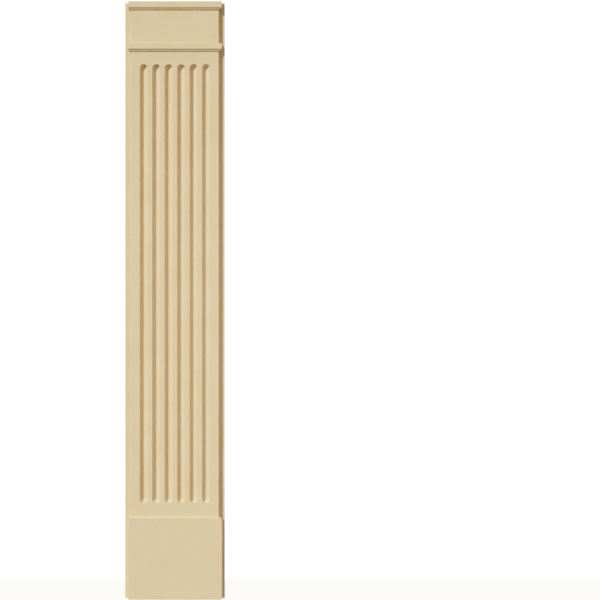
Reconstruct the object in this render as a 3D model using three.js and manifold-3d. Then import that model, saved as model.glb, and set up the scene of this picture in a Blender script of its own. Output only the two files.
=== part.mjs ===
// A fluted pilaster for the side of a doorway, moulded in one piece.
// Millimetres, +Z up. X runs across the face, the back lies on the plane y = 0 and the face looks along -Y.
// The origin is the middle of the flat back, where the pilaster is fixed to its wall.
import * as THREE from "three";
import { mergeVertices } from "three/addons/utils/BufferGeometryUtils.js";
import Module from "manifold-3d";

// Overall size
const HEIGHT = 2438.4;
const PLATE_WIDTH = 409.6;
const PLATE_MARGIN = 13.6; // plate past the plinth at each side
const SIDE_PROJECTION = 13; // plinth and bands past the shaft, at each side
const FRONT_PROJECTION = 10.5; // plinth and bands past the shaft, at the front

// Depths, each measured out from the layer behind it
const PLATE_DEPTH = 20;
const SHAFT_RISE = 20.3;

// Levels, measured from the foot or from the head
const PLINTH_FACE_HEIGHT = 320.5;
const NECK_BELOW_HEAD = 171.2; // top shelf of the neck band
const FLUTE_FOOT = 392.3;
const FLUTE_HEAD_BELOW_HEAD = 255;

// Plinth top, going up: ovolo and fillet on the sides alone, then a cove all round
const PLINTH_OVOLO = 12.2;
const PLINTH_FILLET = 0.8;
const PLINTH_COVE = 6;
const PLINTH_FILLET_SHARE = 0.6; // share of the side projection left at the fillet
const PLINTH_HEAD = PLINTH_FACE_HEIGHT + PLINTH_OVOLO + PLINTH_FILLET + PLINTH_COVE;

// Cap and neck mouldings, going down: band, ovolo, fillet, cove
const CAP_FACE = 22.6;
const NECK_FACE = 20.4;
const BED_OVOLO = 5.6;
const BED_FILLET = 4.2;
const BED_COVE = 2.6;
const BED_FILLET_SHARE = 0.5; // share of the projection left at the fillet

// Flutes: round-bottomed grooves with ball ends
const FLUTE_COUNT = 6;
const FLUTE_PITCH = 50.8;
const FLUTE_RADIUS = 16.6;
const FLUTE_DEPTH = 16.5;

// Facets: a path gives each arc twice as many facets as its steps
const ARC_STEPS = 3;
const FLUTE_SIDES = 28;
const FLUTE_END_STEPS = 4;

// Finish: factory-primed rigid polyurethane
const PRIMER_COLOUR = 0xdac9a4;
const PRIMER_ROUGHNESS = 0.6;

const QUARTER = Math.PI / 2;

const wasm = await Module();
wasm.setup();

// A closed geometry as a solid that can be joined and cut.
function solidFrom(geometry) {
  const bare = geometry.clone();
  bare.deleteAttribute("normal");
  bare.deleteAttribute("uv");
  const merged = mergeVertices(bare, 1e-4);
  return new wasm.Manifold(
    new wasm.Mesh({
      numProp: 3,
      vertProperties: merged.attributes.position.array,
      triVerts: new Uint32Array(merged.index.array),
    }),
  );
}

// A finished solid as a geometry with flat-shaded facets.
function geometryFrom(solid) {
  const mesh = solid.getMesh();
  const geometry = new THREE.BufferGeometry();
  geometry.setAttribute("position", new THREE.BufferAttribute(mesh.vertProperties, 3));
  geometry.setIndex(new THREE.BufferAttribute(mesh.triVerts, 1));
  const flat = geometry.toNonIndexed();
  flat.computeVertexNormals();
  return flat;
}

// Plinth's side from its foot up over the shoulder to the shaft.
function addPlinthShoulder(path, inner, projection) {
  const fillet = inner + projection * PLINTH_FILLET_SHARE;
  const ovoloReach = projection * (1 - PLINTH_FILLET_SHARE);
  const coveReach = projection * PLINTH_FILLET_SHARE;
  path.lineTo(inner + projection, PLINTH_FACE_HEIGHT);
  path.absellipse(fillet, PLINTH_FACE_HEIGHT, ovoloReach, PLINTH_OVOLO, 0, QUARTER, false);
  path.absellipse(fillet, PLINTH_HEAD, coveReach, PLINTH_COVE, 3 * QUARTER, 2 * QUARTER, true);
}

// Plinth's front from its foot up over the cove to the shaft.
function addPlinthFront(path, inner, projection) {
  const plinthFace = inner + projection;
  path.lineTo(plinthFace, PLINTH_HEAD - PLINTH_COVE);
  path.absellipse(plinthFace, PLINTH_HEAD, projection, PLINTH_COVE, 3 * QUARTER, 2 * QUARTER, true);
}

// One band with its bed moulding, from the cove's foot on the shaft up to the band's top edge.
function addBand(path, inner, projection, bandTop, face) {
  const fillet = inner + projection * BED_FILLET_SHARE;
  const ovoloReach = projection * (1 - BED_FILLET_SHARE);
  const coveReach = projection * BED_FILLET_SHARE;
  const ovoloTop = bandTop - face;
  const coveFoot = ovoloTop - BED_OVOLO - BED_FILLET - BED_COVE;
  path.absellipse(fillet, coveFoot, coveReach, BED_COVE, 2 * QUARTER, QUARTER, true);
  path.absellipse(fillet, ovoloTop, ovoloReach, BED_OVOLO, 3 * QUARTER, 4 * QUARTER, false);
  path.lineTo(inner + projection, bandTop);
}

// Edge of the raised body from foot to head, with the shaft at `inner` and the plinth and bands past it.
function raisedEdge(inner, projection, addPlinth) {
  const path = new THREE.Path();
  const neckTop = HEIGHT - NECK_BELOW_HEAD;
  path.moveTo(inner + projection, 0);
  addPlinth(path, inner, projection);
  addBand(path, inner, projection, neckTop, NECK_FACE);
  path.lineTo(inner, neckTop);
  addBand(path, inner, projection, HEIGHT, CAP_FACE);
  return path.getPoints(ARC_STEPS);
}

// Front elevation carried through the full depth.
function frontElevation(shaftHalfWidth, fullDepth) {
  const right = raisedEdge(shaftHalfWidth, SIDE_PROJECTION, addPlinthShoulder);
  const left = right.map((point) => new THREE.Vector2(-point.x, point.y)).reverse();
  const outline = new THREE.Shape([...right, ...left]);
  const geometry = new THREE.ExtrudeGeometry(outline, { depth: fullDepth, bevelEnabled: false });
  return solidFrom(geometry.rotateX(QUARTER));
}

// Side elevation carried across the full width.
function sideElevation(shaftFace) {
  const edge = raisedEdge(shaftFace, FRONT_PROJECTION, addPlinthFront);
  const front = edge.map((point) => new THREE.Vector2(-point.x, point.y));
  const outline = new THREE.Shape([...front, new THREE.Vector2(0, HEIGHT), new THREE.Vector2(0, 0)]);
  const geometry = new THREE.ExtrudeGeometry(outline, { depth: PLATE_WIDTH, bevelEnabled: false });
  geometry.rotateX(QUARTER);
  geometry.rotateZ(QUARTER);
  return solidFrom(geometry.translate(-PLATE_WIDTH / 2, 0, 0));
}

// Backing plate over the full height.
function backPlate() {
  const geometry = new THREE.BoxGeometry(PLATE_WIDTH, PLATE_DEPTH, HEIGHT);
  return solidFrom(geometry.translate(0, -PLATE_DEPTH / 2, HEIGHT / 2));
}

// One ball-ended cutter, standing upright in front of the shaft's face.
function fluteCutter(x, shaftFace) {
  const foot = FLUTE_FOOT + FLUTE_RADIUS;
  const head = HEIGHT - FLUTE_HEAD_BELOW_HEAD - FLUTE_RADIUS;
  const profile = new THREE.Path();
  profile.absarc(0, foot, FLUTE_RADIUS, -QUARTER, 0, false);
  profile.absarc(0, head, FLUTE_RADIUS, 0, QUARTER, false);
  const points = profile.getPoints(FLUTE_END_STEPS);
  points[0].x = 0;
  points[points.length - 1].x = 0;
  const geometry = new THREE.LatheGeometry(points, FLUTE_SIDES);
  geometry.rotateX(QUARTER);
  return solidFrom(geometry.translate(x, FLUTE_DEPTH - FLUTE_RADIUS - shaftFace, 0));
}

// The whole moulding: mitred elevations on the plate, then the flutes cut in.
function pilasterGeometry() {
  const shaftHalfWidth = PLATE_WIDTH / 2 - PLATE_MARGIN - SIDE_PROJECTION;
  const shaftFace = PLATE_DEPTH + SHAFT_RISE;
  const fullDepth = shaftFace + FRONT_PROJECTION;
  const raised = frontElevation(shaftHalfWidth, fullDepth).intersect(sideElevation(shaftFace));
  let body = raised.add(backPlate());
  for (let index = 0; index < FLUTE_COUNT; index += 1) {
    const x = (index - (FLUTE_COUNT - 1) / 2) * FLUTE_PITCH;
    body = body.subtract(fluteCutter(x, shaftFace));
  }
  return geometryFrom(body).translate(0, 0, -HEIGHT / 2);
}

const primer = new THREE.MeshStandardMaterial({
  color: PRIMER_COLOUR,
  roughness: PRIMER_ROUGHNESS,
  metalness: 0,
});

const pilaster = new THREE.Mesh(pilasterGeometry(), primer);
pilaster.name = "pilaster";

const part = new THREE.Group();
part.add(pilaster);

export default part;
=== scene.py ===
"""Looks of a fluted pilaster, a single moulding of primed polyurethane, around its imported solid.

The piece is raised level by level from the outline of its foot, so that the mouldings mitre round its
corners. The flutes are spun and drawn into its face, and the flat land between them is filled in last.
Everything is in metres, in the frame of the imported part: +Z up, the face towards -Y, the back on y = 0.
"""

import logging
import math
from dataclasses import dataclass
from enum import Enum
from typing import Any

import bmesh
import bpy
from bmesh.types import BMEdge, BMesh, BMFace, BMVert
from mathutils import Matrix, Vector


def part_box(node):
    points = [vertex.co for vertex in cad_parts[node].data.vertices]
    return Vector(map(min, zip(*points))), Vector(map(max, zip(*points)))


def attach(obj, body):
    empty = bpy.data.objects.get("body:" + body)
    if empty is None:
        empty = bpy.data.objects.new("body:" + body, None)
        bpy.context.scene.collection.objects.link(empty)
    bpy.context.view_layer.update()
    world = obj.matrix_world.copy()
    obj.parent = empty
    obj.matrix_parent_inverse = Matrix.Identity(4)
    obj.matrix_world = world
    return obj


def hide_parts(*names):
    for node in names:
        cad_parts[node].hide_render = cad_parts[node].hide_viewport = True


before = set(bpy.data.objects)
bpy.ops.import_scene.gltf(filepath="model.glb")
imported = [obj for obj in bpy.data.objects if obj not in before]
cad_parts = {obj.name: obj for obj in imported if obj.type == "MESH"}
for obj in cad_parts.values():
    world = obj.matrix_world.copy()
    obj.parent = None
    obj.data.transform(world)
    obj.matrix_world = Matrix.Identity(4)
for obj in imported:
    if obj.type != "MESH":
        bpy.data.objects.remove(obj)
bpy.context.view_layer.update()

MM = 0.001
NEAR = 0.01 * MM
QUARTER = math.pi / 2
SQUARE_ON = 0.999  # least part of a normal along the axis that its face looks along
ARRIS = "arris"  # face attribute that marks the rounded arrises
WHITE = "#ffffff"
MIX_SHARE = 0  # sockets of a colour mix
MIX_FIRST = 6
MIX_SECOND = 7
MIX_RESULT = 2
WAVE_FACTOR = 20  # a wave texture's own factor on its scale
ALL_CHANNELS = 3  # place of the tone curve that acts on red, green and blue together

log = logging.getLogger("pilaster")


class Leave(Enum):
    """How a quarter-round member leaves the one below it."""

    UPRIGHT = "upright"
    LEVEL = "level"


class Side(Enum):
    """Which of the two finishes a face of the moulding carries, as its material index."""

    FACE = 0
    BACK = 1


def linear(colour: str) -> tuple[float, float, float, float]:
    """Turns an sRGB hex colour into linear values.

    Args:
        colour: Colour as "#rrggbb".

    Returns:
        Red, green, blue and an alpha of 1.
    """
    channels = [int(colour[start:start + 2], 16) / 255 for start in (1, 3, 5)]
    curved = [c / 12.92 if c <= 0.04045 else ((c + 0.055) / 1.055) ** 2.4 for c in channels]
    return (*curved, 1.0)


def add_node(
    tree: bpy.types.NodeTree,
    kind: str,
    inputs: dict[str | int, Any] | None = None,
    **settings: Any,
) -> bpy.types.Node:
    """Adds a node with its settings, values and links.

    Args:
        tree: Node tree that the node goes into.
        kind: Blender's name of the node type.
        inputs: Value or output socket for each input, by name or index.
        **settings: Properties of the node itself.

    Returns:
        The new node.
    """
    node = tree.nodes.new(kind)
    for name, value in settings.items():
        setattr(node, name, value)
    for key, value in (inputs or {}).items():
        if isinstance(value, bpy.types.NodeSocket):
            tree.links.new(value, node.inputs[key])
        else:
            node.inputs[key].default_value = value
    return node


def empty_material(name: str) -> bpy.types.Material:
    """Makes a material with a bare node tree.

    Args:
        name: Name of the finish.

    Returns:
        The material.
    """
    material = bpy.data.materials.new(name)
    material.use_nodes = True
    material.node_tree.nodes.clear()
    return material


@dataclass(frozen=True)
class PrimedPolyurethane:
    """Factory primer sprayed on a moulded skin of rigid polyurethane.

    The mould gives a smooth closed skin. Spraying leaves the coat a little thicker and thinner in soft
    clouds, a fine stipple and an even matt sheen. The eye sees a warm tan that is almost flat, with
    slightly paler arrises where the coat is thin.
    """

    thick_coat: str = "#d2b684"
    thin_coat: str = "#d9bf90"
    arris: str = "#dfc89e"
    cloud_size: float = 90 * MM
    cloud_octaves: float = 3.0
    cloud_grit: float = 0.55
    speckle_size: float = 7 * MM  # real speckle is about 1 mm, drawn coarser so that it shows at all
    speckle_grit: float = 0.6
    coat_range: tuple[float, float] = (0.7, 1.3)  # clouds and speckle together, from thick to thin
    stipple_size: float = 2.5 * MM
    stipple_height: float = 0.05 * MM
    fine_octaves: float = 2.0
    roughness: float = 0.62
    roughness_swing: float = 0.06
    ior: float = 1.5
    specular: float = 0.3

    def material(self) -> bpy.types.Material:
        """Builds the node material.

        Returns:
            The primer.
        """
        material = empty_material("primed_polyurethane")
        tree = material.node_tree
        place = add_node(tree, "ShaderNodeTexCoord").outputs["Object"]
        clouds = add_node(tree, "ShaderNodeTexNoise", {
            "Vector": place,
            "Scale": 1 / self.cloud_size,
            "Detail": self.cloud_octaves,
            "Roughness": self.cloud_grit})
        speckle = add_node(tree, "ShaderNodeTexNoise", {
            "Vector": place,
            "Scale": 1 / self.speckle_size,
            "Detail": self.fine_octaves,
            "Roughness": self.speckle_grit})
        coat = add_node(tree, "ShaderNodeMath", {
            0: clouds.outputs["Fac"], 1: speckle.outputs["Fac"]}, operation="ADD")
        thick, thin = self.coat_range
        spread = add_node(tree, "ShaderNodeMapRange", {
            "Value": coat.outputs[0], "From Min": thick, "From Max": thin})
        tone = add_node(tree, "ShaderNodeMix", {
            MIX_SHARE: spread.outputs[0],
            MIX_FIRST: linear(self.thick_coat),
            MIX_SECOND: linear(self.thin_coat)}, data_type="RGBA")
        rounded = add_node(tree, "ShaderNodeAttribute", attribute_name=ARRIS)
        shown = add_node(tree, "ShaderNodeMix", {
            MIX_SHARE: rounded.outputs["Fac"],
            MIX_FIRST: tone.outputs[MIX_RESULT],
            MIX_SECOND: linear(self.arris)}, data_type="RGBA")
        sheen = add_node(tree, "ShaderNodeMapRange", {
            "Value": clouds.outputs["Fac"],
            "To Min": self.roughness - self.roughness_swing,
            "To Max": self.roughness + self.roughness_swing})
        stipple = add_node(tree, "ShaderNodeTexNoise", {
            "Vector": place, "Scale": 1 / self.stipple_size, "Detail": self.fine_octaves})
        bump = add_node(tree, "ShaderNodeBump", {
            "Height": stipple.outputs["Fac"], "Strength": 1.0, "Distance": self.stipple_height})
        surface = add_node(tree, "ShaderNodeBsdfPrincipled", {
            "Base Color": shown.outputs[MIX_RESULT],
            "Roughness": sheen.outputs[0],
            "IOR": self.ior,
            "Specular IOR Level": self.specular,
            "Normal": bump.outputs[0]})
        add_node(tree, "ShaderNodeOutputMaterial", {"Surface": surface.outputs[0]})
        return material


@dataclass(frozen=True)
class PlanedPolyurethane:
    """Bare back of the moulding, planed flat where the foam was trimmed level with the mould's rim.

    Planing opens the skin, so the eye sees a paler, chalky face with fine upright cutter marks and
    small soft blotches where the foam is closer.
    """

    colour: str = "#d8c193"
    close_foam: str = "#cdb384"
    blotch_size: float = 45 * MM
    blotch_octaves: float = 4.0
    blotch_grit: float = 0.6
    mark_spacing: float = 9 * MM  # real marks are about 3 mm apart, drawn coarser so that they show
    mark_height: float = 0.12 * MM
    mark_waver: float = 1.2
    mark_octaves: float = 2.0
    roughness: float = 0.8
    ior: float = 1.5
    specular: float = 0.2

    def material(self) -> bpy.types.Material:
        """Builds the node material.

        Returns:
            The planed back.
        """
        material = empty_material("planed_polyurethane")
        tree = material.node_tree
        place = add_node(tree, "ShaderNodeTexCoord").outputs["Object"]
        blotches = add_node(tree, "ShaderNodeTexNoise", {
            "Vector": place,
            "Scale": 1 / self.blotch_size,
            "Detail": self.blotch_octaves,
            "Roughness": self.blotch_grit})
        tone = add_node(tree, "ShaderNodeMix", {
            MIX_SHARE: blotches.outputs["Fac"],
            MIX_FIRST: linear(self.close_foam),
            MIX_SECOND: linear(self.colour)}, data_type="RGBA")
        marks = add_node(tree, "ShaderNodeTexWave", {
            "Vector": place,
            "Scale": 2 * math.pi / (WAVE_FACTOR * self.mark_spacing),
            "Distortion": self.mark_waver,
            "Detail": self.mark_octaves}, bands_direction="X")
        bump = add_node(tree, "ShaderNodeBump", {
            "Height": marks.outputs["Fac"], "Strength": 1.0, "Distance": self.mark_height})
        surface = add_node(tree, "ShaderNodeBsdfPrincipled", {
            "Base Color": tone.outputs[MIX_RESULT],
            "Roughness": self.roughness,
            "IOR": self.ior,
            "Specular IOR Level": self.specular,
            "Normal": bump.outputs[0]})
        add_node(tree, "ShaderNodeOutputMaterial", {"Surface": surface.outputs[0]})
        return material


@dataclass(frozen=True)
class MattFloorPaint:
    """White paint rolled on the studio floor.

    It is matt and glows a little, so that the eye sees an even, pale floor.
    """

    colour: str = "#f3f3f3"
    roughness: float = 0.9
    glow: float = 1.6

    def material(self) -> bpy.types.Material:
        """Builds the node material.

        Returns:
            The floor's paint.
        """
        material = empty_material("white_studio_floor")
        tree = material.node_tree
        surface = add_node(tree, "ShaderNodeBsdfPrincipled", {
            "Base Color": linear(self.colour),
            "Roughness": self.roughness,
            "Emission Color": linear(WHITE),
            "Emission Strength": self.glow})
        add_node(tree, "ShaderNodeOutputMaterial", {"Surface": surface.outputs[0]})
        return material


@dataclass(frozen=True)
class Station:
    """One level of the elevation.

    Attributes:
        height: Metres above the foot.
        side: Share of the projection at the sides, from 0 on the shaft to 1 on the plinth and bands.
        front: The same share along the front.
    """

    height: float
    side: float
    front: float


def quarter_round(low: Station, high: Station, leave: Leave, steps: int) -> list[Station]:
    """Works out the levels of an ovolo or a cove between its two ends.

    Args:
        low: Lower end, which isn't repeated.
        high: Upper end.
        leave: Whether the curve leaves its lower end upright or level.
        steps: Number of facets.

    Returns:
        The stations above the lower end.
    """
    stations = []
    for step in range(1, steps + 1):
        turn = QUARTER * step / steps
        rise, run = math.sin(turn), 1 - math.cos(turn)
        if leave is Leave.LEVEL:
            rise, run = run, rise
        stations.append(Station(
            low.height + (high.height - low.height) * rise,
            low.side + (high.side - low.side) * run,
            low.front + (high.front - low.front) * run,
        ))
    return stations


@dataclass(frozen=True)
class Elevation:
    """Levels of the raised body from foot to head: plinth, shaft, neck band, frieze and cap."""

    height: float
    plinth_face: float = 320.5 * MM
    plinth_ovolo: float = 12.2 * MM
    plinth_fillet: float = 0.8 * MM
    plinth_cove: float = 6 * MM
    plinth_share: float = 0.6  # share of the side projection left at the fillet
    arris_share: float = 0.92  # share of the front projection left where the plinth's top arris is turned
    neck_below_head: float = 171.2 * MM
    neck_face: float = 20.4 * MM
    cap_face: float = 22.6 * MM
    bed_ovolo: float = 5.6 * MM
    bed_fillet: float = 4.2 * MM
    bed_cove: float = 2.6 * MM
    bed_share: float = 0.5  # share of the projection left at the fillet
    shelf_fall: float = 0.4 * MM  # draft that lets the neck's shelf leave its mould
    curve_steps: int = 10

    def band(self, top: float, face: float) -> list[Station]:
        """Works out a band with the cove, fillet and ovolo that carry it.

        Args:
            top: Height of the band's upper edge.
            face: Height of the band's upright face.

        Returns:
            Stations from the foot of the cove to the band's upper edge.
        """
        ovolo_head = Station(top - face, 1.0, 1.0)
        fillet_head = Station(ovolo_head.height - self.bed_ovolo, self.bed_share, self.bed_share)
        fillet_foot = Station(fillet_head.height - self.bed_fillet, self.bed_share, self.bed_share)
        cove_foot = Station(fillet_foot.height - self.bed_cove, 0.0, 0.0)
        return [
            cove_foot,
            *quarter_round(cove_foot, fillet_foot, Leave.UPRIGHT, self.curve_steps),
            fillet_head,
            *quarter_round(fillet_head, ovolo_head, Leave.LEVEL, self.curve_steps),
            Station(top, 1.0, 1.0),
        ]

    def plinth(self) -> list[Station]:
        """Works out the plinth, with round shoulders at its sides and a low cove all round its top.

        Returns:
            Stations from the foot up to the shaft.
        """
        ovolo_foot = Station(self.plinth_face, 1.0, 1.0)
        fillet_foot = Station(ovolo_foot.height + self.plinth_ovolo, self.plinth_share, 1.0)
        cove_foot = Station(fillet_foot.height + self.plinth_fillet, self.plinth_share, self.arris_share)
        cove_head = Station(cove_foot.height + self.plinth_cove, 0.0, 0.0)
        return [
            Station(0.0, 1.0, 1.0),
            ovolo_foot,
            *quarter_round(ovolo_foot, fillet_foot, Leave.UPRIGHT, self.curve_steps),
            *quarter_round(fillet_foot, cove_foot, Leave.UPRIGHT, self.curve_steps // 2),
            *quarter_round(cove_foot, cove_head, Leave.LEVEL, self.curve_steps),
        ]

    def stations(self) -> list[Station]:
        """Works out every level from foot to head.

        Returns:
            The stations in rising order.
        """
        neck_top = self.height - self.neck_below_head
        return [
            *self.plinth(),
            *self.band(neck_top, self.neck_face),
            Station(neck_top + self.shelf_fall, 0.0, 0.0),
            *self.band(self.height, self.cap_face),
        ]


@dataclass(frozen=True)
class Flutes:
    """A row of round-bottomed grooves with ball ends and softly rolled lips."""

    face: float
    foot: float
    head: float
    count: int = 6
    pitch: float = 50.8 * MM
    radius: float = 16.6 * MM
    depth: float = 16.5 * MM
    lip: float = 0.3 * MM
    groove_steps: int = 20
    lip_steps: int = 4
    end_steps: int = 32

    def half_section(self, bm: BMesh) -> list[BMEdge]:
        """Draws half of the groove's section at the head's level, from its bottom out to the land.

        Args:
            bm: Mesh that takes the edges.

        Returns:
            The edges of the half section.
        """
        level = self.head - self.radius
        inset = self.depth - self.radius
        axis = Vector((0, inset - self.face, level))
        lip_run = math.sqrt((self.radius + self.lip) ** 2 - (self.lip - inset) ** 2)
        lip_axis = Vector((lip_run, self.lip - self.face, level))
        turn = math.atan2(lip_axis.x - axis.x, lip_axis.y - axis.y)
        start = bm.verts.new(axis + Vector((0, self.radius, 0)))
        wall = bmesh.ops.spin(
            bm, geom=[start], cent=axis, axis=(0, 0, 1), angle=-turn, steps=self.groove_steps)
        last = next(g for g in wall["geom_last"] if isinstance(g, BMVert))
        bmesh.ops.spin(
            bm, geom=[last], cent=lip_axis, axis=(0, 0, 1), angle=turn, steps=self.lip_steps)
        return list(bm.edges)

    def groove(self) -> bpy.types.Mesh:
        """Models one groove on the middle line: a ball end, the straight run and the other ball end.

        Returns:
            The groove as an open mesh.
        """
        bm = bmesh.new()
        section = self.half_section(bm)
        upper = Vector((0, 0, self.head - self.radius))
        lower = Vector((0, 0, self.foot + self.radius))
        dome = bmesh.ops.spin(
            bm, geom=section, cent=upper, axis=(0, 1, 0), angle=-math.pi, steps=self.end_steps)
        far_side = [g for g in dome["geom_last"] if isinstance(g, BMEdge)]
        run = bmesh.ops.extrude_edge_only(bm, edges=section + far_side)["geom"]
        drawn = [g for g in run if isinstance(g, BMVert)]
        bmesh.ops.translate(bm, verts=drawn, vec=lower - upper)
        right = [
            g for g in run
            if isinstance(g, BMEdge) and all(v in drawn and v.co.x > -NEAR for v in g.verts)
            and any(v.co.x > NEAR for v in g.verts)
        ]
        bmesh.ops.spin(
            bm, geom=right, cent=lower, axis=(0, 1, 0), angle=math.pi, steps=self.end_steps)
        bmesh.ops.remove_doubles(bm, verts=bm.verts, dist=NEAR)
        mesh = bpy.data.meshes.new("groove")
        bm.to_mesh(mesh)
        bm.free()
        return mesh

    def carve(self, bm: BMesh) -> None:
        """Lays the row of grooves into a mesh.

        Args:
            bm: Mesh of the pilaster, with its face open.
        """
        groove = self.groove()
        for index in range(self.count):
            known = set(bm.verts)
            bm.from_mesh(groove)
            added = [v for v in bm.verts if v not in known]
            across = (index - (self.count - 1) / 2) * self.pitch
            bmesh.ops.translate(bm, verts=added, vec=(across, 0, 0))
        bpy.data.meshes.remove(groove)


@dataclass
class Pilaster:
    """The moulding: back plate, plinth, fluted shaft, neck band, frieze and cap, cast together.

    Attributes:
        low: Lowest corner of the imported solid.
        high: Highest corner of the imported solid.
    """

    low: Vector
    high: Vector
    plate_depth: float = 20 * MM
    plate_margin: float = 13.6 * MM
    side_projection: float = 13 * MM
    front_projection: float = 10.5 * MM
    flute_foot: float = 392.3 * MM
    flute_head_below: float = 255 * MM
    arris_radius: float = 0.7 * MM
    arris_segments: int = 3
    sharp_angle: float = math.radians(32)
    flat_angle: float = math.radians(0.05)  # faces that turn by less than this are joined

    def half_width(self, reach: float) -> float:
        """Half the raised body's width where it stands out by this share of the projection."""
        return self.high.x - self.plate_margin - self.side_projection * (1 - reach)

    def face(self, reach: float) -> float:
        """Depth of the raised body's face, from the back, at this share of the projection."""
        return -self.low.y - self.front_projection * (1 - reach)

    def outline(self, bm: BMesh, station: Station) -> list[BMEdge]:
        """Draws the foot's outline: the plate with the raised body in front of it.

        Args:
            bm: Mesh that takes the outline.
            station: Level of the outline.

        Returns:
            The closed ring of edges.
        """
        plate, body = self.high.x, self.half_width(station.side)
        step, front = self.plate_depth, self.face(station.front)
        corners = [(plate, 0), (plate, step), (body, step), (body, front)]
        right = [Vector((x, -y, self.low.z + station.height)) for x, y in corners]
        left = [Vector((-point.x, point.y, point.z)) for point in reversed(right)]
        verts = [bm.verts.new(point) for point in right + left]
        return [bm.edges.new(pair) for pair in zip(verts, verts[1:] + verts[:1])]

    def carry(self, vert: BMVert, station: Station) -> None:
        """Moves a corner of the outline up to a station.

        Args:
            vert: Corner that has just been drawn up from the level below.
            station: Level that it belongs to.
        """
        vert.co.z = self.low.z + station.height
        if abs(vert.co.x) > self.high.x - NEAR:
            return
        vert.co.x = math.copysign(self.half_width(station.side), vert.co.x)
        if vert.co.y < -self.plate_depth - NEAR:
            vert.co.y = -self.face(station.front)

    def raise_body(self, bm: BMesh, stations: list[Station]) -> None:
        """Draws the outline up through every station and closes both ends.

        Args:
            bm: Empty mesh.
            stations: Levels from foot to head.
        """
        ring = self.outline(bm, stations[0])
        ends = list(ring)
        for station in stations[1:]:
            grown = bmesh.ops.extrude_edge_only(bm, edges=ring)["geom"]
            for vert in (g for g in grown if isinstance(g, BMVert)):
                self.carry(vert, station)
            ring = [g for g in grown if isinstance(g, BMEdge) and g.is_boundary]
        bmesh.ops.edgeloop_fill(bm, edges=ends)
        bmesh.ops.edgeloop_fill(bm, edges=ring)
        bmesh.ops.recalc_face_normals(bm, faces=bm.faces)

    def is_arris(self, edge: BMEdge) -> bool:
        """Tells whether an edge is an outer corner that the mould leaves slightly round.

        Args:
            edge: Edge of the raised body.

        Returns:
            True for the upright corners and the fillets' and bands' edges, but not for the cut ends,
            the rim of the back or the small step on the plinth.
        """
        if not edge.is_convex or edge.calc_face_angle() < self.sharp_angle:
            return False
        at_back = all(v.co.y > -NEAR for v in edge.verts)
        at_end = any(all(abs(v.co.z - z) < NEAR for v in edge.verts) for z in (self.low.z, self.high.z))
        upright = edge.verts[0].co.z != edge.verts[1].co.z
        above_plinth = edge.verts[0].co.z > (self.low.z + self.high.z) / 2
        return not at_back and not at_end and (upright or above_plinth)

    def soften(self, bm: BMesh) -> None:
        """Rounds the arrises and marks them for the primer.

        Args:
            bm: Closed mesh of the raised body.
        """
        layer = bm.faces.layers.float.new(ARRIS)
        bm.normal_update()
        arrises = [edge for edge in bm.edges if self.is_arris(edge)]
        rounded = bmesh.ops.bevel(
            bm,
            geom=arrises,
            offset=self.arris_radius,
            offset_type="OFFSET",
            affect="EDGES",
            segments=self.arris_segments,
            profile=0.5,
            material=-1,
            clamp_overlap=True,
        )
        for face in rounded["faces"]:
            face[layer] = 1.0

    def flute_face(self, bm: BMesh) -> None:
        """Opens the shaft's face, lays the flutes in it and fills the flat land around them.

        Args:
            bm: Closed mesh of the raised body.
        """
        fronts = [face for face in bm.faces if face.normal.y < -SQUARE_ON]
        shaft = max(fronts, key=BMFace.calc_area)
        bmesh.ops.delete(bm, geom=[shaft], context="FACES_ONLY")
        flutes = Flutes(
            face=self.face(0.0),
            foot=self.low.z + self.flute_foot,
            head=self.high.z - self.flute_head_below,
        )
        flutes.carve(bm)
        rims = [edge for edge in bm.edges if edge.is_boundary]
        bmesh.ops.triangle_fill(bm, use_beauty=True, edges=rims, normal=(0, -1, 0))
        bmesh.ops.recalc_face_normals(bm, faces=bm.faces)

    def build(self) -> bpy.types.Object:
        """Models the moulding and gives it its finishes.

        Returns:
            The finished piece.
        """
        bm = bmesh.new()
        self.raise_body(bm, Elevation(height=self.high.z - self.low.z).stations())
        self.soften(bm)
        bmesh.ops.dissolve_limit(bm, angle_limit=self.flat_angle, verts=bm.verts, edges=bm.edges)
        self.flute_face(bm)
        for face in bm.faces:
            face.smooth = True
            at_back = face.normal.y > SQUARE_ON and face.calc_center_median().y > -NEAR
            face.material_index = (Side.BACK if at_back else Side.FACE).value
        mesh = bpy.data.meshes.new("fluted_pilaster")
        bm.to_mesh(mesh)
        bm.free()
        mesh.set_sharp_from_angle(angle=self.sharp_angle)
        piece = bpy.data.objects.new("fluted_pilaster", mesh)
        bpy.context.scene.collection.objects.link(piece)
        shading = piece.modifiers.new("even_shading", "WEIGHTED_NORMAL")
        shading.keep_sharp = True
        return self.dress(piece)

    def dress(self, piece: bpy.types.Object) -> bpy.types.Object:
        """Gives the moulding its primer and its bare back.

        Args:
            piece: The modelled moulding.

        Returns:
            The same piece.
        """
        piece.data.materials.append(PrimedPolyurethane().material())
        piece.data.materials.append(PlanedPolyurethane().material())
        return piece


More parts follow.
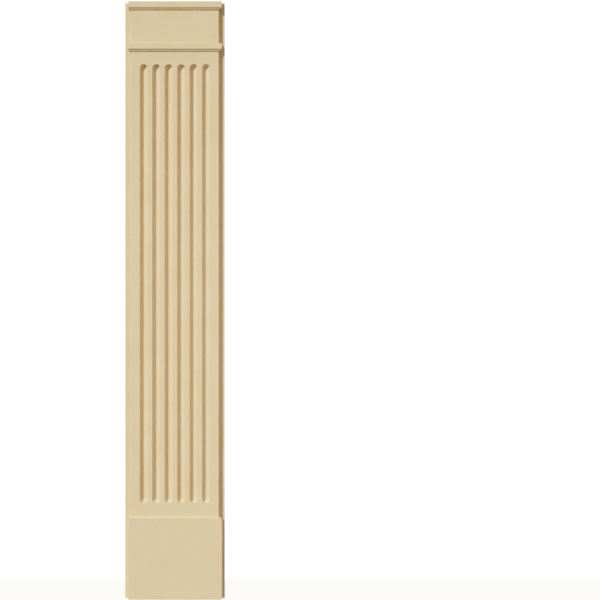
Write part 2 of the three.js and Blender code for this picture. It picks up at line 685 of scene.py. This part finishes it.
@dataclass
class Studio:
    """Pale floor, soft light from above, a crisp key, a soft fill, a light for the back, and the camera.

    Attributes:
        low: Lowest corner of the object.
        high: Highest corner of the object.
    """

    low: Vector
    high: Vector
    frame_pixels: float = 600.0
    object_pixels: float = 599.05  # height of the front face in the frame
    centre_column: float = 175.0  # middle of the pilaster in the frame
    centre_row: float = 300.5
    lens: float = 70.0  # in millimetres, as the sensor is
    sensor: float = 36.0
    key_slope: tuple[float, float] = (0.92, 0.8)  # leftwards and upwards for each step towards the camera
    key_angle: float = math.radians(0.8)
    key_on_face: tuple[float, float, float] = (0.807, 0.832, 0.88)  # brightness of a white face
    fill_place: tuple[float, float, float] = (1.1, -1.2, 0.0)
    fill_size: float = 0.6
    fill_watts: tuple[float, float, float] = (6.0, 5.4, 6.0)
    back_place: tuple[float, float, float] = (0.0, 1.0, 0.5)
    back_power: tuple[float, float, float] = (2.0, 2.0, 2.0)
    sky_colour: tuple[float, float, float, float] = (0.62, 0.533, 0.39, 1.0)
    horizon: float = 0.15  # half the height of the soft edge between the lit sky and the dark below it
    backdrop: float = 3.0
    white_from: float = 1.894  # brightness that is shown as full white
    curve_shares: tuple[float, ...] = (0.05, 0.13, 0.26, 0.47, 0.74)  # of it, at the tone curve's points
    floor_width: float = 4.0
    floor_length: float = 2.6
    floor_ahead: float = 1.0  # from the back's plane to the middle of the floor
    floor_gap: float = 0.2 * MM

    def floor(self) -> None:
        """Lays a plain pale floor at the foot of the object, hidden from diffuse rays."""
        bm = bmesh.new()
        bmesh.ops.create_grid(bm, x_segments=1, y_segments=1, size=0.5)
        bmesh.ops.scale(bm, verts=bm.verts, vec=(self.floor_width, self.floor_length, 1.0))
        bmesh.ops.translate(bm, verts=bm.verts, vec=(0, -self.floor_ahead, self.low.z - self.floor_gap))
        mesh = bpy.data.meshes.new("floor")
        bm.to_mesh(mesh)
        bm.free()
        mesh.materials.append(MattFloorPaint().material())
        floor = bpy.data.objects.new("floor", mesh)
        bpy.context.scene.collection.objects.link(floor)
        floor.visible_diffuse = False

    def sky(self) -> None:
        """Surrounds the object with warm soft light from above the horizon, on a white backdrop."""
        world = bpy.data.worlds.new("studio")
        world.use_nodes = True
        tree = world.node_tree
        tree.nodes.clear()
        direction = add_node(tree, "ShaderNodeTexCoord").outputs["Generated"]
        height = add_node(tree, "ShaderNodeSeparateXYZ", {0: direction}).outputs["Z"]
        strength = add_node(tree, "ShaderNodeMapRange", {
            "Value": height, "From Min": -self.horizon, "From Max": self.horizon})
        soft = add_node(tree, "ShaderNodeBackground", {
            "Color": self.sky_colour, "Strength": strength.outputs[0]})
        white = add_node(tree, "ShaderNodeBackground", {
            "Color": linear(WHITE), "Strength": self.backdrop})
        seen = add_node(tree, "ShaderNodeLightPath").outputs["Is Camera Ray"]
        both = add_node(tree, "ShaderNodeMixShader", {0: seen, 1: soft.outputs[0], 2: white.outputs[0]})
        add_node(tree, "ShaderNodeOutputWorld", {"Surface": both.outputs[0]})
        bpy.context.scene.world = world

    @staticmethod
    def aim(light: bpy.types.Light, place: Vector, power: Vector, piece: bpy.types.Object) -> None:
        """Sets up a light that falls on the object alone, so that the floor keeps no long shadow.

        Args:
            light: Light with its own settings made.
            place: Where it stands. It points at the origin.
            power: Red, green and blue power.
            piece: The object.
        """
        light.energy = max(power)
        light.color = power / max(power)
        lamp = bpy.data.objects.new(light.name, light)
        lamp.location = place
        lamp.rotation_euler = place.to_track_quat("Z", "Y").to_euler()
        bpy.context.scene.collection.objects.link(lamp)
        receivers = bpy.data.collections.new(light.name + "_falls_on")
        receivers.objects.link(piece)
        lamp.light_linking.receiver_collection = receivers

    def lights(self, piece: bpy.types.Object) -> None:
        """Sets a crisp key at the upper left, a soft fill on the right and a light for the back.

        Args:
            piece: The object.
        """
        left, up = self.key_slope
        towards_key = Vector((-left, -1.0, up))
        key = bpy.data.lights.new("key", "SUN")
        key.angle = self.key_angle
        self.aim(key, towards_key, Vector(self.key_on_face) * math.pi * towards_key.length, piece)
        fill = bpy.data.lights.new("fill", "AREA")
        fill.size = self.fill_size
        self.aim(fill, Vector(self.fill_place), Vector(self.fill_watts), piece)
        back = bpy.data.lights.new("back", "SUN")
        self.aim(back, Vector(self.back_place), Vector(self.back_power), piece)

    def camera(self) -> None:
        """Looks straight at the face, with the object where the photograph has it."""
        data = bpy.data.cameras.new("camera")
        data.lens = self.lens
        data.sensor_width = self.sensor
        data.shift_x = 0.5 - self.centre_column / self.frame_pixels
        data.shift_y = self.centre_row / self.frame_pixels - 0.5
        camera = bpy.data.objects.new("camera", data)
        seen_height = (self.high.z - self.low.z) * self.frame_pixels / self.object_pixels
        distance = seen_height * self.lens / self.sensor
        camera.location = (0.0, self.low.y - distance, (self.low.z + self.high.z) / 2)
        camera.rotation_euler = (QUARTER, 0.0, 0.0)
        bpy.context.scene.collection.objects.link(camera)
        bpy.context.scene.camera = camera

    def tone(self) -> None:
        """Rolls bright tones off softly towards white."""
        view = bpy.context.scene.view_settings
        view.view_transform = "Standard"
        view.look = "None"
        view.use_curve_mapping = True
        mapping = view.curve_mapping
        mapping.use_clip = False
        curve = mapping.curves[ALL_CHANNELS]
        curve.points[1].location = (self.white_from, 1.0)
        for share in self.curve_shares:
            bright = share * self.white_from
            curve.points.new(bright, self.rolled(bright))
        mapping.update()

    def rolled(self, bright: float) -> float:
        """Brightness shown for a brightness in the scene, 1 where white starts."""
        return (1 + 1 / self.white_from) * bright / (1 + bright)


def main() -> None:
    """Builds the pilaster, then the studio round it."""
    logging.basicConfig(level=logging.INFO, format="%(name)s: %(message)s")
    low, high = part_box("pilaster")
    piece = Pilaster(low, high).build()
    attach(piece, "root")
    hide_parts("pilaster")
    log.info("%s: %d faces", piece.name, len(piece.data.polygons))
    studio = Studio(low, high)
    studio.floor()
    studio.sky()
    studio.lights(piece)
    studio.camera()
    studio.tone()


if __name__ == "__main__":
    main()
